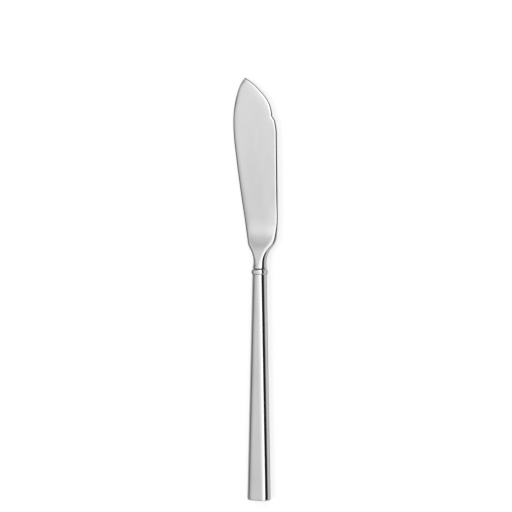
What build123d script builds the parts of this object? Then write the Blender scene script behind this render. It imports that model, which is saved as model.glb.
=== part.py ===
import os
from math import cos, radians, sin

from build123d import *

# Fish knife with a hollow handle, lying with the back of the blade to the table.
# Millimetres. +Y runs from the butt to the tip, +X towards the spine, +Z up.
# The origin is under the middle of the knife, on the table.

# Lengths along the handle axis
blade_length = 95.3
collar_length = 3.0
handle_length = 112.0

# Blade outline: reaches go out from the handle axis, rises go up from the shoulder
flat_rise = 25.0
heel_edge_reach = 8.02
heel_spine_reach = 9.52
edge_reach = 13.56
edge_rise = 62.2
belly_reach = 14.3
belly_rise = 73.9
nose_reach = 11.5
nose_rise = 89.2
tip_reach = 8.0
tip_radius = 0.8
back_slope = 35.3
back_reach = 2.3
back_rise = 86.0
notch_reach = 6.5
notch_rise = 75.9
notch_round = 0.5
step_reach = 8.0
step_rise = 73.6
step_round = 2.5
spine_front_reach = 8.9
spine_front_rise = 68.8
spine_front_round = 12.0
spine_reach = 9.56
spine_heel_rise = 28.0
spine_heel_round = 30.0

# Blade thickness and edge rounding
heel_thickness = 2.0
tip_thickness = 1.7
edge_round = 0.7

# Neck: flares run from the waist to the heel along the cutting edge's side and the spine's side
waist_edge_reach = 3.15
edge_flare_start = 4.6
edge_flare_end = 12.9
edge_flare_slope = 0.14
waist_spine_reach = 3.43
spine_flare_start = 4.0
spine_flare_end = 15.6
spine_flare_slope = 0.076
shoulder_width = 6.96
shoulder_thickness = 6.6
neck_thickness = 5.5
neck_foot = 3.0
neck_roundness = 0.42
neck_steps = 10

# Tang
tang_root = 4.2
tang_width = 3.6
tang_height = 2.6
tang_end_width = 2.4
tang_end_height = 1.8
tang_length = 62.0
tang_key_radius = 0.7
tang_key_rise = 20.0

# Collar
bead_diameter = 8.0
bead_crown = 0.47
joint_groove = 0.45
joint_groove_radius = 3.1
spigot_length = 4.0
fit_gap = 0.05

# Handle shells
handle_thickness = 6.9
mouth_flat = 0.2
butt_width = 11.84
shell_wall = 0.8
butt_wall = 1.0
butt_round = 0.8
mouth_round = 0.2
seam_land = 0.05
core_length = 84.0

# Places in the frame
tip_y = (blade_length + collar_length + handle_length) / 2
shoulder_y = tip_y - blade_length
mouth_y = shoulder_y - collar_length
butt_y = mouth_y - handle_length
axis_x = (belly_reach - spine_reach) / 2
axis_z = bead_diameter / 2

# Shared sizes of the mating pieces
half_thickness = handle_thickness / 2
side_radius = half_thickness - seam_land
mouth_width = handle_thickness + mouth_flat
bore_radius = side_radius - shell_wall
tang_end_y = mouth_y - spigot_length - tang_length
core_end_y = mouth_y - core_length


# Share of a smooth step that goes from 0 at its start to 1 at its end
def smooth_step(place, start, end):
    share = min(max((place - start) / (end - start), 0), 1)
    return share**2 * (3 - 2 * share)


# Reach of one side of the neck: the blade's outline carried down, drawn in to the waist
def flare(rise, waist, heel, slope, start, end):
    return waist + (heel - slope * (flat_rise - rise) - waist) * smooth_step(rise, start, end)


# Blade: flat outline, ground thinner towards the tip, with the edges rounded over
blade_plane = Plane((axis_x, shoulder_y, axis_z))
side_plane = Plane((axis_x, shoulder_y, axis_z), x_dir=(0, 1, 0), z_dir=(1, 0, 0))

with BuildPart() as blade:
    with BuildSketch(blade_plane.offset(-heel_thickness / 2)) as outline:
        with BuildLine():
            belly = (-belly_reach, belly_rise)
            edge_front = TangentArc(belly, (-edge_reach, edge_rise), tangent=(0, -1))
            edge = TangentArc(edge_front @ 1, (-heel_edge_reach, flat_rise), tangent=edge_front % 1)
            nose = TangentArc(belly, (-nose_reach, nose_rise), tangent=(0, 1))
            point = TangentArc(nose @ 1, (-tip_reach, blade_length), tangent=nose % 1)
            back_way = (cos(radians(back_slope)), -sin(radians(back_slope)))
            back = TangentArc(point @ 1, (back_reach, back_rise), tangent=back_way)
            bulge = TangentArc(back @ 1, (notch_reach, notch_rise), tangent=back % 1)
            Polyline(
                bulge @ 1,
                (step_reach, step_rise),
                (spine_front_reach, spine_front_rise),
                (spine_reach, spine_heel_rise),
                (heel_spine_reach, flat_rise),
                edge @ 1,
            )
        make_face()
        for corner, radius in [
            (point @ 1, tip_radius),
            ((notch_reach, notch_rise), notch_round),
            ((step_reach, step_rise), step_round),
            ((spine_front_reach, spine_front_rise), spine_front_round),
            ((spine_reach, spine_heel_rise), spine_heel_round),
        ]:
            fillet(outline.vertices().sort_by_distance(corner)[0], radius)
    extrude(amount=heel_thickness)
    with BuildSketch(side_plane):
        with BuildLine():
            Polyline(
                (flat_rise, -heel_thickness / 2),
                (blade_length, -tip_thickness / 2),
                (blade_length, tip_thickness / 2),
                (flat_rise, heel_thickness / 2),
                close=True,
            )
        make_face()
    extrude(amount=2 * belly_reach, both=True, mode=Mode.INTERSECT)
    faces_by_height = blade.faces().sort_by(Axis.Z)
    rims = faces_by_height[0].edges() + faces_by_height[-1].edges()
    fillet(rims.filter_by(lambda rim: (rim @ 0.5).Y > shoulder_y + flat_rise + 0.1), edge_round)

    # Neck: swells from the flat blade to the round shoulder
    heel_face = blade.faces().sort_by(Axis.Y)[0]
    shoulder_plane = Plane((axis_x, shoulder_y, axis_z), x_dir=(1, 0, 0), z_dir=(0, 1, 0))
    with BuildSketch(shoulder_plane, mode=Mode.PRIVATE) as shoulder:
        RectangleRounded(shoulder_width, shoulder_thickness, neck_roundness * shoulder_thickness)
    sections = [shoulder.sketch]
    for count in range(1, neck_steps):
        rise = flat_rise * count / neck_steps
        edge_side = flare(
            rise, waist_edge_reach, heel_edge_reach, edge_flare_slope, edge_flare_start, edge_flare_end
        )
        spine_side = flare(
            rise, waist_spine_reach, heel_spine_reach, spine_flare_slope, spine_flare_start, spine_flare_end
        )
        swell = (neck_thickness - heel_thickness) * (1 - smooth_step(rise, neck_foot, flat_rise))
        foot = (shoulder_thickness - neck_thickness) * (1 - smooth_step(rise, 0, neck_foot))
        thickness = heel_thickness + swell + foot
        with BuildSketch(shoulder_plane.offset(rise), mode=Mode.PRIVATE) as section:
            with Locations(((spine_side - edge_side) / 2, 0)):
                RectangleRounded(edge_side + spine_side, thickness, neck_roundness * thickness)
        sections.append(section.sketch)
    loft(sections + [heel_face])

    # Tang: round where it passes the collar, then a flat tapered bar with key notches
    with BuildSketch(shoulder_plane):
        Circle(tang_root / 2)
    extrude(amount=-collar_length - spigot_length)
    with BuildSketch(shoulder_plane.offset(-collar_length - spigot_length)):
        Rectangle(tang_width, tang_height)
    with BuildSketch(Plane((axis_x, tang_end_y, axis_z), x_dir=(1, 0, 0), z_dir=(0, 1, 0))):
        Rectangle(tang_end_width, tang_end_height)
    loft()
    tang_middle = (tang_width + tang_end_width) / 4
    with BuildSketch(Plane((axis_x, tang_end_y + tang_key_rise, axis_z))):
        with Locations((-tang_middle, 0), (tang_middle, 0)):
            Circle(tang_key_radius)
    extrude(amount=tang_height, both=True, mode=Mode.SUBTRACT)
blade.part.label = "blade"

# Collar: turned ring with the bead, on a spigot that plugs the mouth of the handle
handle_axis = Axis((axis_x, shoulder_y, axis_z), (0, 1, 0))
with BuildPart() as collar:
    with BuildSketch(blade_plane):
        with BuildLine():
            bead_edge = bead_diameter / 2 - bead_crown
            bead = ThreePointArc(
                (bead_edge, -joint_groove),
                (bead_diameter / 2, -(joint_groove + collar_length) / 2),
                (bead_edge, -collar_length),
            )
            Polyline(
                bead @ 1,
                (bore_radius - fit_gap, -collar_length),
                (bore_radius - fit_gap, -collar_length - spigot_length),
                (tang_root / 2 + fit_gap, -collar_length - spigot_length),
                (tang_root / 2 + fit_gap, 0),
                (joint_groove_radius, 0),
                (joint_groove_radius, -joint_groove),
                bead @ 0,
            )
        make_face()
    revolve(axis=handle_axis)
collar.part.label = "collar"

# Hollow of one handle shell
mouth_plane = Plane((axis_x, mouth_y, axis_z))
with BuildPart() as hollow:
    with BuildSketch(mouth_plane):
        with BuildLine():
            Polyline(
                (mouth_width / 2 - shell_wall, 0),
                (butt_width / 2 - shell_wall, butt_wall - handle_length),
                (shell_wall - butt_width / 2, butt_wall - handle_length),
                (shell_wall - mouth_width / 2, 0),
                close=True,
            )
        make_face()
    extrude(amount=half_thickness - shell_wall)
    fillet(hollow.faces().sort_by(Axis.Z)[-1].edges().sort_by(Axis.Y)[1:-1], bore_radius)

# Handle shells: one stamping with round flanks and a closed butt, and its mirror image
with BuildPart() as handle_front:
    with BuildSketch(mouth_plane):
        with BuildLine():
            Polyline(
                (mouth_width / 2, 0),
                (butt_width / 2, -handle_length),
                (-butt_width / 2, -handle_length),
                (-mouth_width / 2, 0),
                close=True,
            )
        make_face()
    extrude(amount=half_thickness)
    fillet(handle_front.faces().sort_by(Axis.Z)[-1].edges().sort_by(Axis.Y)[1:-1], side_radius)
    fillet(handle_front.faces().sort_by(Axis.Y)[0].edges().sort_by(Axis.Z)[1:], butt_round)
    fillet(handle_front.faces().sort_by(Axis.Y)[-1].edges().sort_by(Axis.Z)[1:], mouth_round)
    add(hollow.part, mode=Mode.SUBTRACT)
handle_front.part.label = "handle_front"

with BuildPart() as handle_back:
    mirror(handle_front.part, about=Plane.XY.offset(axis_z))
handle_back.part.label = "handle_back"

# Core: cement cast between the shells, round the tang and up to the spigot
with BuildPart() as core:
    add(hollow.part)
    mirror(about=Plane.XY.offset(axis_z))
    split(bisect_by=Plane.XZ.offset(-(mouth_y - spigot_length)), keep=Keep.TOP)
    split(bisect_by=Plane.XZ.offset(-core_end_y), keep=Keep.BOTTOM)
    add(blade.part, mode=Mode.SUBTRACT)
core.part.label = "core"

os.makedirs("parts", exist_ok=True)
export_step(blade.part, "parts/blade.step")
export_step(collar.part, "parts/collar.step")
export_step(handle_front.part, "parts/handle_front.step")
export_step(handle_back.part, "parts/handle_back.step")
export_step(core.part, "parts/core.step")
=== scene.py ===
import math
import bpy
import numpy as np
from mathutils import Matrix, Vector


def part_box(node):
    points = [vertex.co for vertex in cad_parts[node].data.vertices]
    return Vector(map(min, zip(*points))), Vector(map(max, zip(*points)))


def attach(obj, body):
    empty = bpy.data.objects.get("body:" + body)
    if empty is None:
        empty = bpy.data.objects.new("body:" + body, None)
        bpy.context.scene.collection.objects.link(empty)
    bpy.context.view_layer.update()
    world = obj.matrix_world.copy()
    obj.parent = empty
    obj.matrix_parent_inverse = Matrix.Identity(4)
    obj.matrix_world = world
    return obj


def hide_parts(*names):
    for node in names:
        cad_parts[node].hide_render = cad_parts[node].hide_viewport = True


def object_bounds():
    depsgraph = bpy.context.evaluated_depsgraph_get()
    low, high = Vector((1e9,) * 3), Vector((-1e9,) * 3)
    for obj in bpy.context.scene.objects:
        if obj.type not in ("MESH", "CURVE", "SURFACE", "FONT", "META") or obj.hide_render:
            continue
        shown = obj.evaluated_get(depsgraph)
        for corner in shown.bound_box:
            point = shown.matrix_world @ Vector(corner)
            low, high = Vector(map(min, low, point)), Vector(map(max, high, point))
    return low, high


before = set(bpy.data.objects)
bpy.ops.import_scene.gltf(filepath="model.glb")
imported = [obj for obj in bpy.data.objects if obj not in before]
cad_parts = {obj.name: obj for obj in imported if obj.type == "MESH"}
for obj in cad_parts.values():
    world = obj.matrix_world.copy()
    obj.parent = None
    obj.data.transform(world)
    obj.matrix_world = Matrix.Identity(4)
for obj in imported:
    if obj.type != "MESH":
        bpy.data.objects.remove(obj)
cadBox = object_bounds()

mm = 0.001
mergeDistance = 1e-6    # metres, points closer than this become one
scene = bpy.context.scene
bpy.ops.object.select_all(action='DESELECT')
print("fish knife: frame loaded,", len(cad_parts), "nodes")


# view of the photo: nearly from above, rolled a little round the knife's long axis
photoView = {
    "tilt": 21.0,              # degrees from straight above, towards the spine
    "lens": 100.0,
    "sensor": 36.0,
    "distance": 706.6 * mm,
    "alongKnife": 16.03 * mm,  # point of the knife at the middle of the picture
    "leftOfAxis": 1.78 * mm,
    "roll": 0.14,
    "clip": (0.01, 50),
}
collarLow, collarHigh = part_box("collar")
axisX = (collarLow.x + collarHigh.x) / 2
axisZ = (collarLow.z + collarHigh.z) / 2
shoulderY = collarHigh.y
buttY = cadBox[0][1]

def addCamera(view):
    tilt = math.radians(view["tilt"])
    outward = Vector((math.sin(tilt), 0, math.cos(tilt)))
    rightward = Vector((math.cos(tilt), 0, -math.sin(tilt)))
    target = Vector((axisX, view["alongKnife"], axisZ)) - rightward * view["leftOfAxis"]
    bpy.ops.object.camera_add(location=target + outward * view["distance"])
    camera = bpy.context.object
    camera.name = "photoCamera"
    turn = Matrix((rightward, (0, 1, 0), outward)).transposed()
    roll = Matrix.Rotation(math.radians(view["roll"]), 3, 'Z')
    camera.rotation_euler = (turn @ roll).to_euler()
    camera.data.lens = view["lens"]
    camera.data.sensor_width = view["sensor"]
    camera.data.clip_start, camera.data.clip_end = view["clip"]
    scene.camera = camera

addCamera(photoView)
print("fish knife: camera set")


# steel and cement: sizes in metres, the rest are shares and plain shader values
bladeFinish = {
    "grey": (0.545, 0.575),              # darkest and lightest steel
    "edgeTint": 0.34,                    # reflection kept where the steel is seen at a slant
    "roughness": 0.1,
    "lineSize": (0.0004, 0.03, 0.0004),  # polish lines run along the blade
    "lines": 0.03,                       # roughness that the lines, haze, scratches and wear add
    "haze": 0.03,
    "scratches": 0.1,
    "wear": 0.1,
    "relief": 0.000006,
    "bump": 0.1,
    "scratchDepth": 0.7,                 # depth of a scratch to the height of a line
}
handleFinish = dict(bladeFinish, roughness=0.075, lineSize=(0.0003, 0.04, 0.0003), lines=0.02,
                    scratches=0.08)
collarFinish = dict(handleFinish, lineSize=(0.005, 0.00012, 0.005))    # turned, so its lines run round it
# marks in the steel: grain size, noise level where they start and are full, turn in degrees, detail
steelMarks = {
    "lines": {"low": 0.3, "high": 0.7, "detail": 4},
    "haze": {"size": (0.009, 0.022, 0.009), "low": 0.35, "high": 0.65},
    "longScratches": {"size": (0.00012, 0.006, 0.00012), "low": 0.66, "high": 0.74, "turn": 13, "detail": 1},
    "crossScratches": {"size": (0.0001, 0.004, 0.0001), "low": 0.67, "high": 0.75, "turn": -31, "detail": 1},
    "nicks": {"size": (0.0003, 0.0006, 0.0003), "low": 0.5, "high": 0.7},
}
# where wear starts and is full: height of the normal on the rims, distance from the end of the butt
wornPlaces = {"rim": (0.93, 0.6), "butt": (0.006, 0.0005)}
# painted shade: the groove above the bead is darkened to near black
grooveShade = {"depth": 0.0005, "fade": 0.00005, "colour": (0.06, 0.06, 0.06, 1)}
# painted shade: the blade's upright rims above the neck are darkened to a dark grey that stands in for their
# dark outline: height of its normal, rise where it starts, grey
paintedRimShade = {"upright": (0.88, 0.74), "rise": (0.011, 0.021), "colour": (0.15, 0.15, 0.15, 1)}
cementFinish = {
    "dark": (0.43, 0.39, 0.33, 1),
    "light": (0.56, 0.52, 0.46, 1),
    "grain": {"size": (0.0006, 0.0006, 0.0006), "low": 0.3, "high": 0.7, "detail": 6},
    "roughness": (0.82, 0.12),           # least, and what the grain adds
    "relief": 0.00015,
    "bump": 0.6,
}

def mathNode(nodes, links, operation, *values):
    node = nodes.new("ShaderNodeMath")
    node.operation = operation
    for socket, value in zip(node.inputs, values):
        if isinstance(value, (int, float)):
            socket.default_value = value
        else:
            links.new(value, socket)
    return node.outputs[0]

def levelShare(nodes, links, value, start, end):
    # 0 before the start, 1 past the end
    share = nodes.new("ShaderNodeMapRange")
    share.inputs["From Min"].default_value = start
    share.inputs["From Max"].default_value = end
    links.new(value, share.inputs["Value"])
    return share.outputs["Result"]

def axisParts(nodes, links, vector):
    parts = nodes.new("ShaderNodeSeparateXYZ")
    links.new(vector, parts.inputs[0])
    return parts.outputs

def noiseLevel(nodes, links, place, size, low, high, turn=0, detail=3):
    # noise with grains of the given size, cut off below low and full above high
    mapping = nodes.new("ShaderNodeMapping")
    mapping.vector_type = 'TEXTURE'
    mapping.inputs["Scale"].default_value = size
    mapping.inputs["Rotation"].default_value = (0, 0, math.radians(turn))
    links.new(place, mapping.inputs["Vector"])
    noise = nodes.new("ShaderNodeTexNoise")
    noise.inputs["Scale"].default_value = 1
    noise.inputs["Detail"].default_value = detail
    links.new(mapping.outputs["Vector"], noise.inputs["Vector"])
    return levelShare(nodes, links, noise.outputs["Fac"], low, high)

def addBump(nodes, links, height, finish):
    bump = nodes.new("ShaderNodeBump")
    bump.inputs["Strength"].default_value = finish["bump"]
    bump.inputs["Distance"].default_value = finish["relief"]
    links.new(height, bump.inputs["Height"])
    links.new(bump.outputs["Normal"], nodes["Principled BSDF"].inputs["Normal"])

def uprightShare(nodes, links, way, start, end):
    # by the height of the normal, which is 1 on a face and 0 on an upright side
    facing = axisParts(nodes, links, way.outputs["Normal"])
    return levelShare(nodes, links, mathNode(nodes, links, 'ABSOLUTE', facing["Z"]), start, end)

def rimShare(nodes, links, way):
    # 1 where the blade rolls over at its edges, 0 on its faces
    return uprightShare(nodes, links, way, *wornPlaces["rim"])

def endShare(nodes, links, way):
    # 1 round the butt of the handle, which is what knocks against other cutlery
    place = axisParts(nodes, links, way.outputs["Object"])
    start, full = wornPlaces["butt"]
    return levelShare(nodes, links, place["Y"], buttY + start, buttY + full)

def steelMaterial(name, finish, wornShare):
    material = bpy.data.materials.new(name)
    material.use_nodes = True
    nodes, links = material.node_tree.nodes, material.node_tree.links
    shader = nodes["Principled BSDF"]
    tint = finish["edgeTint"]
    shader.inputs["Metallic"].default_value = 1
    shader.inputs["Specular Tint"].default_value = (tint, tint, tint, 1)
    way = nodes.new("ShaderNodeTexCoord")
    place = way.outputs["Object"]
    lines = noiseLevel(nodes, links, place, finish["lineSize"], **steelMarks["lines"])
    haze = noiseLevel(nodes, links, place, **steelMarks["haze"])
    scratches = mathNode(nodes, links, 'MAXIMUM',
                         noiseLevel(nodes, links, place, **steelMarks["longScratches"]),
                         noiseLevel(nodes, links, place, **steelMarks["crossScratches"]))
    nicks = noiseLevel(nodes, links, place, **steelMarks["nicks"])
    worn = mathNode(nodes, links, 'MULTIPLY', nicks, wornShare(nodes, links, way))
    # the grey drifts a little, and lines, haze, scratches and wear take some of the gloss
    grey = nodes.new("ShaderNodeValToRGB")
    for stop, level in zip(grey.color_ramp.elements, finish["grey"]):
        stop.color = (level, level, level, 1)
    links.new(haze, grey.inputs["Fac"])
    links.new(grey.outputs["Color"], shader.inputs["Base Color"])
    rough = mathNode(nodes, links, 'MULTIPLY_ADD', lines, finish["lines"], finish["roughness"])
    for share, amount in ((haze, "haze"), (scratches, "scratches"), (worn, "wear")):
        rough = mathNode(nodes, links, 'MULTIPLY_ADD', share, finish[amount], rough)
    links.new(rough, shader.inputs["Roughness"])
    height = mathNode(nodes, links, 'MULTIPLY_ADD', scratches, -finish["scratchDepth"], lines)
    addBump(nodes, links, height, finish)
    return material

def cementMaterial(name, finish):
    material = bpy.data.materials.new(name)
    material.use_nodes = True
    nodes, links = material.node_tree.nodes, material.node_tree.links
    shader = nodes["Principled BSDF"]
    place = nodes.new("ShaderNodeTexCoord").outputs["Object"]
    grain = noiseLevel(nodes, links, place, **finish["grain"])
    colour = nodes.new("ShaderNodeValToRGB")
    colour.color_ramp.elements[0].color = finish["dark"]
    colour.color_ramp.elements[1].color = finish["light"]
    links.new(grain, colour.inputs["Fac"])
    links.new(colour.outputs["Color"], shader.inputs["Base Color"])
    least, added = finish["roughness"]
    links.new(mathNode(nodes, links, 'MULTIPLY_ADD', grain, added, least), shader.inputs["Roughness"])
    addBump(nodes, links, grain, finish)
    return material

def blendColour(nodes, links, share, colour):
    # the steel turns to this colour where the share is 1
    base = nodes["Principled BSDF"].inputs["Base Color"]
    blend = nodes.new("ShaderNodeMix")
    blend.data_type = 'RGBA'
    links.new(share, blend.inputs["Factor"])
    links.new(base.links[0].from_socket, blend.inputs["A"])
    blend.inputs["B"].default_value = colour
    links.new(blend.outputs["Result"], base)

def paintGrooveShade(material, finish):
    # painted shade: the steel's colour turns near black in the groove above the bead
    nodes, links = material.node_tree.nodes, material.node_tree.links
    place = axisParts(nodes, links, nodes.new("ShaderNodeTexCoord").outputs["Object"])
    groove = shoulderY - finish["depth"]
    share = levelShare(nodes, links, place["Y"], groove - finish["fade"], groove + finish["fade"])
    blendColour(nodes, links, share, finish["colour"])

def paintRimShade(material, finish):
    # painted shade: the steel's colour goes dark grey where the blade's rims stand upright, from a little
    # above the neck to the tip
    nodes, links = material.node_tree.nodes, material.node_tree.links
    way = nodes.new("ShaderNodeTexCoord")
    place = axisParts(nodes, links, way.outputs["Object"])
    side = uprightShare(nodes, links, way, *finish["upright"])
    low, high = finish["rise"]
    above = levelShare(nodes, links, place["Y"], shoulderY + low, shoulderY + high)
    blendColour(nodes, links, mathNode(nodes, links, 'MULTIPLY', side, above), finish["colour"])

bladeSteel = steelMaterial("bladeSteel", bladeFinish, rimShare)
handleSteel = steelMaterial("handleSteel", handleFinish, endShare)
collarSteel = steelMaterial("collarSteel", collarFinish, endShare)
paintGrooveShade(collarSteel, grooveShade)
paintRimShade(bladeSteel, paintedRimShade)
cement = cementMaterial("cement", cementFinish)
nodeMaterials = {"blade": bladeSteel, "collar": collarSteel, "handle_front": handleSteel,
                 "handle_back": handleSteel, "core": cement}
for name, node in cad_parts.items():
    node.data.materials[0] = nodeMaterials[name]
print("fish knife: materials set")


# blade and neck: millimetres, reaches out from the handle's axis and rises up from the shoulder
bladeShape = {
    "belly": (-14.22, 73.9),
    "edgeFront": (-13.5, 62.2),
    "heelEdge": (-8.02, 25.0),
    "edgeCorner": (-6.06, 11.7, 5.0),        # corners have their rounding radius last
    "edgeWaist": (-3.06, 6.2, 10.5),
    "shoulder": 3.48,
    "nose": (-11.5, 89.2),
    "tip": (-7.88, 95.1, 0.35),
    "backSlope": 31.5,
    "back": [(-0.72, 89.3), (2.3, 85.95)],
    "notch": (6.5, 75.45, 0.3),
    "step": (8.0, 73.2, 2.5),
    "spineFront": (8.9, 68.4, 12.0),
    "spine": (9.585, 22.5, 60.0),
    "spineCorner": (8.64, 12.8, 8.5),
    "spineWaist": (3.43, 6.8, 10.0),
    "foot": 3.0,                             # the neck spreads to the shoulder over this length
    "halfThickness": {"tip": 0.85, "heel": 1.0, "taper": 70},    # it tapers over this length above the heel
    # rise, and degrees at which the face climbs to the neck there
    "steepness": [(0, 5.6), (8.2, 5.8), (11.6, 7.2), (15.1, 5.9), (18.1, 4.2), (19.6, 3.3), (21.1, 2.2),
                  (25, 0)],
    # how far in the faces roll over, the cutting edge first as a ground bevel
    "roll": {"edge": 4.4, "edgeFront": 3.4, "edgeTip": 2.6, "spine": 1.4, "back": 1.65, "tip": 1.4,
             "edgeWaist": 1.95, "spineWaist": 1.95, "edgeNeck": 3.0, "spineNeck": 2.85},
    # rises between which one of these passes into the next
    "spans": {"foot": (1.5, 7), "neck": (6, 25), "front": (25, 65), "back": (71, 84), "tip": (82, 95)},
    "widestRoll": 0.46,                      # share of the blade's width that one side may take
    "fullness": {"edge": 4.2, "spine": 2.8, "neck": 2.0},    # above 2 they roll over later and faster
    # share of the thickness left at the cutting edge and at its tip, the rounding there and its rises
    "blunt": {"edge": 0.19, "tip": 0.8, "round": 0.2, "span": (82, 94)},
    # rise, degrees at which the face leans over at the spine there, and how far in that starts
    "crown": [(0, 0, 6), (11, 0.2, 6), (14.5, 0.7, 6), (18, 3, 6), (21, 6, 6), (28, 6, 6), (33, 2.5, 5),
              (38, 0, 4), (70, 0, 4), (77, 2.5, 4.5), (84, 4, 4.5), (95, 4, 4)],
    # mesh rows: rises from and to, and their count; then those that close up to the tip, and where they end
    "rows": [(0, 26, 65), (26, 66, 27), (66, 72, 15), (72, 78, 43), (78, 92, 31)],
    "tipRows": (30, 0.02),
    "steps": {"rolled": 18, "level": 16},    # over each rolled edge and across the flat
}

def arcPoints(start, way, end, count=200):
    # arc that leaves start along way and passes through end, and its direction at the end
    start, way, end = np.array(start, float), np.array(way, float), np.array(end, float)
    way /= np.hypot(*way)
    side = np.array((-way[1], way[0]))
    chord = end - start
    radius = chord @ chord / (2 * (chord @ side))
    centre = start + radius * side
    first, last = start - centre, end - centre
    sweep = math.atan2(first[0] * last[1] - first[1] * last[0], first @ last)
    angles = math.atan2(first[1], first[0]) + sweep * np.linspace(0, 1, count)
    points = centre + abs(radius) * np.column_stack((np.cos(angles), np.sin(angles)))
    endWay = np.array((-last[1], last[0])) * np.sign(sweep)
    return points, endWay

def roundCorner(before, corner, after, count=40):
    # points of the arc that rounds a corner between two straight runs
    radius = corner[2]
    corner = np.array(corner[:2], float)
    back, on = np.array(before[:2], float) - corner, np.array(after[:2], float) - corner
    back, on = back / np.hypot(*back), on / np.hypot(*on)
    half = math.acos(max(-1, min(1, back @ on))) / 2
    middle = (back + on) / np.hypot(*(back + on))
    centre = corner + middle * radius / math.sin(half)
    first = corner + back * radius / math.tan(half) - centre
    last = corner + on * radius / math.tan(half) - centre
    sweep = math.atan2(first[0] * last[1] - first[1] * last[0], first @ last)
    angles = math.atan2(first[1], first[0]) + sweep * np.linspace(0, 1, count)
    return centre + radius * np.column_stack((np.cos(angles), np.sin(angles)))

def smoothStep(place, start, end):
    share = np.clip((np.asarray(place, float) - start) / (end - start), 0, 1)
    return share**2 * (3 - 2 * share)

def bladeOutlines(shape):
    # both sides of the outline, from the shoulder to the tip
    front, way = arcPoints(shape["belly"], (0, -1), shape["edgeFront"])
    heel, way = arcPoints(shape["edgeFront"], way, shape["heelEdge"])
    nose, way = arcPoints(shape["belly"], (0, 1), shape["nose"])
    point, way = arcPoints(shape["nose"], way, shape["tip"][:2])
    slope = math.radians(shape["backSlope"])
    backFront, way = arcPoints(shape["tip"][:2], (math.cos(slope), -math.sin(slope)), shape["back"][0])
    backRear, way = arcPoints(shape["back"][0], way, shape["back"][1])
    bulge, way = arcPoints(shape["back"][1], way, shape["notch"][:2])
    back = np.vstack((backFront, backRear[1:]))
    nearTip, nearNotch = 20, 3      # points along the arcs that give their directions at these corners
    tip = roundCorner(point[-nearTip], shape["tip"], back[nearTip], count=80)
    top = int(np.argmax(tip[:, 1]))
    notch = roundCorner(shape["step"], shape["notch"], bulge[-nearNotch])
    edge = [[(shape["edgeWaist"][0], 0)],
            roundCorner((shape["edgeWaist"][0], 0), shape["edgeWaist"], shape["edgeCorner"]),
            roundCorner(shape["edgeWaist"], shape["edgeCorner"], shape["heelEdge"]),
            heel[::-1], front[::-1][1:], nose[1:], point[point[:, 1] < tip[0, 1]][1:], tip[:top + 1]]
    spine = [[(shape["spineWaist"][0], 0)],
             roundCorner((shape["spineWaist"][0], 0), shape["spineWaist"], shape["spineCorner"]),
             roundCorner(shape["spineWaist"], shape["spineCorner"], shape["spine"]),
             roundCorner(shape["spineCorner"], shape["spine"], shape["spineFront"]),
             roundCorner(shape["spine"], shape["spineFront"], shape["step"]),
             roundCorner(shape["spineFront"], shape["step"], shape["notch"]),
             notch,
             bulge[::-1][bulge[::-1][:, 1] > notch[-1, 1]],
             back[::-1][1:][back[::-1][1:, 1] < tip[-1, 1]],
             tip[top:][::-1]]
    # the runs between the corners are filled in, and the neck spreads to the shoulder
    fillStep = 0.2
    sides = []
    for path in (np.vstack(edge), np.vstack(spine)):
        along = np.concatenate(([0], np.cumsum(np.hypot(*np.diff(path, axis=0).T))))
        steps = np.unique(np.concatenate((along, np.arange(0, along[-1], fillStep))))
        path = np.column_stack((np.interp(steps, along, path[:, 0]), np.interp(steps, along, path[:, 1])))
        spread = (shape["shoulder"] - abs(path[0, 0])) * (1 - smoothStep(path[:, 1], 0, shape["foot"]))
        path[:, 0] += np.sign(path[0, 0]) * spread
        sides.append(path)
    return sides

def distanceTo(path, points):
    # distance from each point to the nearest run of the path
    starts, runs = path[:-1], path[1:] - path[:-1]
    lengths = np.maximum((runs**2).sum(axis=1), 1e-18)      # a run of no length doesn't divide by 0
    away = points[:, None, :] - starts[None, :, :]
    share = np.clip((away * runs).sum(axis=2) / lengths, 0, 1)
    gap = away - share[:, :, None] * runs
    return np.sqrt((gap**2).sum(axis=2).min(axis=1))

def rollOver(distance, width, fullness):
    return np.sqrt(1 - (1 - np.clip(distance / width, 0, 1))**fullness)

def groundBevel(distance, width, fullness, left, rounding):
    ground = 1 - (1 - np.clip(distance / width, 0, 1))**fullness
    return (left + (1 - left) * ground) * rollOver(distance, rounding, 2)

def rollWidths(shape, rise):
    # how far in the faces roll over at this rise, from the cutting edge and from the spine
    roll, spans = shape["roll"], shape["spans"]
    neck = 1 - smoothStep(rise, *spans["neck"])
    foot = 1 - smoothStep(rise, *spans["foot"])
    tip = smoothStep(rise, *spans["tip"])
    edge = roll["edge"] + (roll["edgeWaist"] - roll["edge"]) * neck
    edge += (roll["edgeNeck"] - roll["edgeWaist"]) * foot
    edge += (roll["edgeFront"] - roll["edge"]) * smoothStep(rise, *spans["front"])
    edge += (roll["edgeTip"] - roll["edgeFront"]) * tip
    spine = roll["spine"] + (roll["spineWaist"] - roll["spine"]) * neck
    spine += (roll["spineNeck"] - roll["spineWaist"]) * foot
    spine += (roll["back"] - roll["spine"]) * smoothStep(rise, *spans["back"])
    spine += (roll["tip"] - roll["back"]) * tip
    return edge, spine

def pick(piece):
    bpy.ops.object.select_all(action='DESELECT')
    piece.select_set(True)
    bpy.context.view_layer.objects.active = piece

def mirrorBack(piece):
    # the back is the mirror image of the front
    bpy.ops.object.empty_add(location=(0, 0, axisZ))
    middle = bpy.context.object
    pick(piece)
    bpy.ops.object.modifier_add(type='MIRROR')
    mirror = piece.modifiers[-1]
    mirror.use_axis = (False, False, True)
    mirror.mirror_object = middle
    mirror.merge_threshold = mergeDistance
    bpy.ops.object.modifier_apply(modifier=mirror.name)
    bpy.data.objects.remove(middle)

def bladeRises(shape, top):
    rises = [np.linspace(start, end, count, endpoint=False) for start, end, count in shape["rows"]]
    lastRise = shape["rows"][-1][1]
    count, end = shape["tipRows"]
    rises.append(top - (top - lastRise) * np.linspace(1, end, count)**2)
    return np.concatenate(rises)

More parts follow.
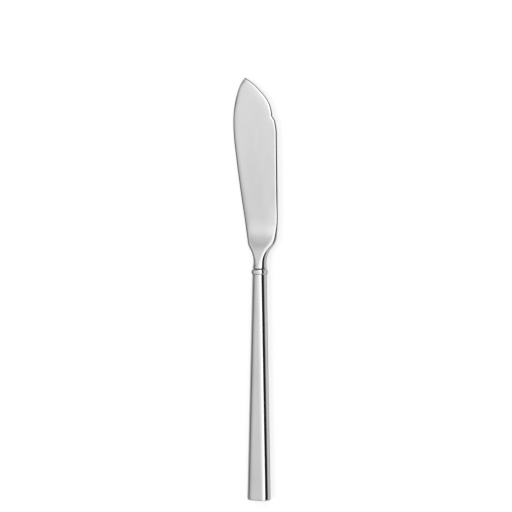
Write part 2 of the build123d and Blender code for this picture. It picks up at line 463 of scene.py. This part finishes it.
def makeBlade(shape):
    edge, spine = bladeOutlines(shape)
    rises = bladeRises(shape, edge[-1, 1])
    rolled, level = shape["steps"]["rolled"], shape["steps"]["level"]
    across = 2 * rolled + level
    bpy.ops.mesh.primitive_grid_add(x_subdivisions=across, y_subdivisions=len(rises) - 1, size=0.1)
    blade = bpy.context.object
    blade.name = "bladeAndNeck"
    turn = np.linspace(0, math.pi / 2, rolled + 1)
    full, blunt, thick = shape["fullness"], shape["blunt"], shape["halfThickness"]
    # the climb of the face from the heel down to the shoulder adds up from its steepness
    heelRise = shape["steepness"][-1][0]
    climbStep = 0.1
    climbRises = np.linspace(0, heelRise, round(heelRise / climbStep) + 1)
    slopes = np.tan(np.radians(np.interp(climbRises, *zip(*shape["steepness"]))))
    climb = np.cumsum(slopes[::-1])[::-1] * climbStep
    crownRises, crownLeans, crownReaches = zip(*shape["crown"])
    places = np.zeros((len(rises), across + 1, 3))
    for row, rise in enumerate(rises):
        low = np.interp(rise, edge[:, 1], edge[:, 0])
        high = np.interp(rise, spine[:, 1], spine[:, 0])
        neck = 1 - smoothStep(rise, *shape["spans"]["neck"])
        edgeRoll, spineRoll = rollWidths(shape, rise)
        spineFull = full["spine"] + (full["neck"] - full["spine"]) * neck
        lowRoll = min(edgeRoll, shape["widestRoll"] * (high - low))
        highRoll = min(spineRoll, shape["widestRoll"] * (high - low))
        xs = np.concatenate((low + lowRoll * (1 - np.cos(turn)),
                             np.linspace(low + lowRoll, high - highRoll, level + 1)[1:-1],
                             high - highRoll * (1 - np.cos(turn[::-1]))))
        points = np.column_stack((xs, np.full(len(xs), rise)))
        half = thick["heel"] + (thick["tip"] - thick["heel"]) * max(rise - heelRise, 0) / thick["taper"]
        half += np.interp(rise, climbRises, climb)
        fromEdge, fromSpine = distanceTo(edge, points), distanceTo(spine, points)
        lean = np.interp(rise, crownRises, crownLeans)
        reach = np.interp(rise, crownRises, crownReaches)
        zs = half - math.tan(math.radians(lean)) * reach / 2 * np.clip(1 - fromSpine / reach, 0, 1)**2
        left = blunt["edge"] + (blunt["tip"] - blunt["edge"]) * smoothStep(rise, *blunt["span"])
        bevel = groundBevel(fromEdge, edgeRoll, full["edge"], left, blunt["round"])
        zs *= bevel + (rollOver(fromEdge, edgeRoll, full["neck"]) - bevel) * neck
        zs *= rollOver(fromSpine, spineRoll, spineFull)
        zs[0] = zs[-1] = 0
        places[row, :, 0] = axisX + xs * mm
        places[row, :, 1] = shoulderY + rise * mm
        places[row, :, 2] = axisZ + zs * mm
    blade.data.vertices.foreach_set("co", places.ravel())
    blade.data.update()
    mirrorBack(blade)
    return blade

def closeMesh(piece, sharp):
    # merges doubles, fills what is open, points the normals outward and smooths all but sharp edges
    pick(piece)
    bpy.ops.object.mode_set(mode='EDIT')
    bpy.ops.mesh.select_all(action='SELECT')
    bpy.ops.mesh.remove_doubles(threshold=mergeDistance)
    bpy.ops.mesh.select_all(action='DESELECT')
    bpy.ops.mesh.select_non_manifold()
    bpy.ops.mesh.fill_holes(sides=0)
    bpy.ops.mesh.select_all(action='SELECT')
    bpy.ops.mesh.normals_make_consistent(inside=False)
    bpy.ops.object.mode_set(mode='OBJECT')
    bpy.ops.object.shade_smooth_by_angle(angle=math.radians(sharp))

# tang: millimetres, how far below the shoulder it is cut and how far its root then goes up into the neck
tangShape = {"cut": 0.05, "root": 0.5}

def makeTang(shape):
    # the tang is right in the frame, so it is cut from a copy of the blade there
    tang = bpy.data.objects.new("tang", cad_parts["blade"].data.copy())
    scene.collection.objects.link(tang)
    pick(tang)
    bpy.ops.object.mode_set(mode='EDIT')
    bpy.ops.mesh.select_all(action='SELECT')
    bpy.ops.mesh.remove_doubles(threshold=mergeDistance)
    bpy.ops.mesh.select_all(action='SELECT')
    cutY = shoulderY - shape["cut"] * mm
    bpy.ops.mesh.bisect(plane_co=(0, cutY, 0), plane_no=(0, 1, 0), use_fill=True, clear_outer=True,
                        threshold=mergeDistance / 10)
    bpy.ops.object.mode_set(mode='OBJECT')
    closeMesh(tang, sharp=30)
    for vertex in tang.data.vertices:
        if vertex.co.y > cutY - 0.01 * mm:
            vertex.co.y += shape["root"] * mm
    return tang

blade = makeBlade(bladeShape)
closeMesh(blade, sharp=40)
tang = makeTang(tangShape)
pick(blade)
tang.select_set(True)
bpy.ops.object.join()
blade.data.materials.clear()
blade.data.materials.append(bladeSteel)
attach(blade, "root")
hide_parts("blade")
print("fish knife: blade made,", len(blade.data.polygons), "faces")


# collar: millimetres, radii from the axis and drops down from the shoulder
collarShape = {
    "groove": (3.05, 0.5),      # radius and width of the groove under the shoulder
    "bead": (3.53, 4.0),        # radius at the edges of the bead and over its crown
    "length": 3.0,
    "fullness": 2.4,            # above 2 the bead is more of a barrel than an oval
    "square": (0.95, 2.6),      # width of the bead's section to its height, and how square it is
    "spigot": (2.55, 7.0),      # radius, and drop of its end
    "bore": 2.15,
    "beadSteps": 28,
    "turnSteps": 144,
}

def makeCollar(shape):
    grooveRadius, grooveWidth = shape["groove"]
    edgeRadius, crownRadius = shape["bead"]
    spigotRadius, spigotEnd = shape["spigot"]
    across = -np.cos(np.linspace(0, math.pi, shape["beadSteps"]))
    crown = np.sqrt(1 - np.abs(across)**shape["fullness"])
    radii = edgeRadius + (crownRadius - edgeRadius) * crown
    drops = grooveWidth + (shape["length"] - grooveWidth) * (across + 1) / 2
    profile = [(shape["bore"], 0), (grooveRadius, 0), (grooveRadius, grooveWidth)]
    profile += list(zip(radii, drops))
    profile += [(spigotRadius, shape["length"]), (spigotRadius, spigotEnd), (shape["bore"], spigotEnd)]
    bpy.ops.mesh.primitive_circle_add(vertices=len(profile), fill_type='NOTHING')
    collar = bpy.context.object
    collar.name = "beadedCollar"
    for vertex, (radius, drop) in zip(collar.data.vertices, profile):
        vertex.co = (axisX + radius * mm, shoulderY - drop * mm, axisZ)
    bpy.ops.object.mode_set(mode='EDIT')
    bpy.ops.mesh.select_all(action='SELECT')
    bpy.ops.mesh.spin(steps=shape["turnSteps"], angle=2 * math.pi, center=(axisX, 0, axisZ), axis=(0, 1, 0))
    bpy.ops.object.mode_set(mode='OBJECT')
    # only the bead is squared, so all that lies further in than its edges stays round
    beadFrom = edgeRadius * 0.999 * mm
    wide, square = shape["square"]
    for vertex in collar.data.vertices:
        x, z = vertex.co.x - axisX, vertex.co.z - axisZ
        radius = math.hypot(x, z)
        if radius > beadFrom:
            stretch = radius / (abs(x)**square + abs(z)**square)**(1 / square)
            vertex.co = (axisX + x * stretch * wide, vertex.co.y, axisZ + z * stretch)
    return collar

collar = makeCollar(collarShape)
closeMesh(collar, sharp=35)
collar.data.materials.append(collarSteel)
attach(collar, "root")
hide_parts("collar")
print("fish knife: collar made,", len(collar.data.polygons), "faces")


# floor, softbox and room light: metres and degrees
floorSetup = {"size": 6.0, "colour": (0.3, 0.3, 0.3, 1), "roughness": 0.9, "glow": 0.7, "gloss": 0.06}
softbox = {"low": 20.0, "high": 47.0, "distance": 1.2, "length": 1.6, "radiance": 0.4}
room = {
    # angle from straight up towards the spine side, and how bright the room is there
    "across": [(-120, 0.03), (-90, 0.05), (-80, 0.18), (-70, 0.41), (-52, 0.74), (-34, 0.91), (-21, 1.03),
               (-14, 1.2), (0, 1.42), (20, 1.7), (45, 2.0), (47, 0.02), (120, 0.02)],
    # angle towards the tip, and its share of that light
    "along": [(-150, 0.9), (-12, 0.92), (0, 1.02), (3, 1.09), (5.2, 1.17), (7.2, 1.27), (26, 1.2),
              (40, 0.95), (50, 0.5), (60, 0.25), (90, 0.2)],
    # angle towards the tip, and what a grey card there leaves of it
    "card": [(-150, 1), (8.3, 1), (9.7, 0.85), (10.7, 0.71), (11.5, 0.66), (12.3, 0.58), (13.2, 0.45),
             (16.5, 0.44), (24, 0.75), (45, 0.92), (90, 1)],
    # how far these two lean over towards the spine side, and the angle where that starts
    "skew": {"along": 0.3, "card": 2.0},
    "skewFrom": -21,
    # the room is at least this bright past the ends of the knife
    "ends": [(-90, 0.3), (-68, 0.3), (-58, 0), (71, 0), (77, 0.8), (90, 0.8)],
    # a pale screen stands low on the spine side, towards the butt
    "screenAcross": [(-120, 0), (58, 0), (68, 0.62), (80, 0.62), (92, 0), (120, 0)],
    "screenAlong": [(-90, 0), (-64, 0), (-49, 1), (-37, 1), (-29, 0), (90, 0)],
}

def addFloor(setup):
    # white acrylic table, lit from below for the camera and for what mirrors it
    bpy.ops.mesh.primitive_plane_add(size=setup["size"], location=(0, 0, 0))
    floor = bpy.context.object
    floor.name = "acrylicTable"
    material = bpy.data.materials.new("acrylicTable")
    material.use_nodes = True
    nodes, links = material.node_tree.nodes, material.node_tree.links
    shader = nodes["Principled BSDF"]
    shader.inputs["Base Color"].default_value = setup["colour"]
    shader.inputs["Roughness"].default_value = setup["roughness"]
    shader.inputs["Specular IOR Level"].default_value = 0
    shader.inputs["Coat Weight"].default_value = 1
    shader.inputs["Coat Roughness"].default_value = setup["gloss"]
    shader.inputs["Emission Color"].default_value = (1, 1, 1, 1)
    rays = nodes.new("ShaderNodeLightPath").outputs
    seen = mathNode(nodes, links, 'ADD', rays["Is Camera Ray"], rays["Is Glossy Ray"])
    seen = mathNode(nodes, links, 'ADD', seen, rays["Is Transmission Ray"])
    seen = mathNode(nodes, links, 'MINIMUM', seen, 1)
    glow = mathNode(nodes, links, 'MULTIPLY', seen, setup["glow"])
    links.new(glow, shader.inputs["Emission Strength"])
    floor.data.materials.append(material)

def addSoftbox(setup):
    middle = math.radians((setup["low"] + setup["high"]) / 2)
    half = math.radians((setup["high"] - setup["low"]) / 2)
    width = 2 * setup["distance"] * math.tan(half)
    place = Vector((math.sin(middle), 0, math.cos(middle))) * setup["distance"]
    bpy.ops.object.light_add(type='AREA', location=place, rotation=(0, middle, 0))
    lamp = bpy.context.object
    lamp.name = "softbox"
    lamp.data.shape = 'RECTANGLE'
    lamp.data.size = width
    lamp.data.size_y = setup["length"]
    lamp.data.energy = setup["radiance"] * math.pi * width * setup["length"]

def levelRamp(nodes, links, angle, levels):
    # turns an angle in radians into a brightness, through the levels given in degrees
    first, last = levels[0][0], levels[-1][0]
    spread = levelShare(nodes, links, angle, math.radians(first), math.radians(last))
    ramp = nodes.new("ShaderNodeValToRGB")
    links.new(spread, ramp.inputs["Fac"])
    stops = ramp.color_ramp.elements
    stops[1].position = 1
    for number, (degrees, level) in enumerate(levels):
        if number == 0:
            stop = stops[0]
        elif number == len(levels) - 1:
            stop = stops[-1]
        else:
            stop = stops.new((degrees - first) / (last - first))
        stop.color = (level, level, level, 1)
    return ramp.outputs["Color"]

def mixLevels(nodes, links, operation, first, second):
    mix = nodes.new("ShaderNodeVectorMath")
    mix.operation = operation
    links.new(first, mix.inputs[0])
    links.new(second, mix.inputs[1])
    return mix.outputs[0]

def addRoom(setup):
    world = bpy.data.worlds.new("studioRoom")
    scene.world = world
    world.use_nodes = True
    nodes, links = world.node_tree.nodes, world.node_tree.links
    way = axisParts(nodes, links, nodes.new("ShaderNodeTexCoord").outputs["Generated"])
    across = mathNode(nodes, links, 'ARCTAN2', way["X"], way["Z"])
    along = mathNode(nodes, links, 'ARCSINE', way["Y"])
    level = levelRamp(nodes, links, across, setup["across"])
    # to the spine side the ends of the light and the card lean over
    past = mathNode(nodes, links, 'SUBTRACT', across, math.radians(setup["skewFrom"]))
    lean = mathNode(nodes, links, 'MAXIMUM', past, 0)
    for name, skew in setup["skew"].items():
        leaning = mathNode(nodes, links, 'MULTIPLY_ADD', lean, -skew, along)
        level = mixLevels(nodes, links, 'MULTIPLY', level, levelRamp(nodes, links, leaning, setup[name]))
    screen = mixLevels(nodes, links, 'MULTIPLY', levelRamp(nodes, links, across, setup["screenAcross"]),
                       levelRamp(nodes, links, along, setup["screenAlong"]))
    level = mixLevels(nodes, links, 'MAXIMUM', level, screen)
    level = mixLevels(nodes, links, 'MAXIMUM', level, levelRamp(nodes, links, along, setup["ends"]))
    links.new(level, nodes["Background"].inputs["Color"])

addFloor(floorSetup)
addSoftbox(softbox)
addRoom(room)
scene.view_settings.view_transform = 'Standard'
print("fish knife: floor and light set")

print("fish knife: done")
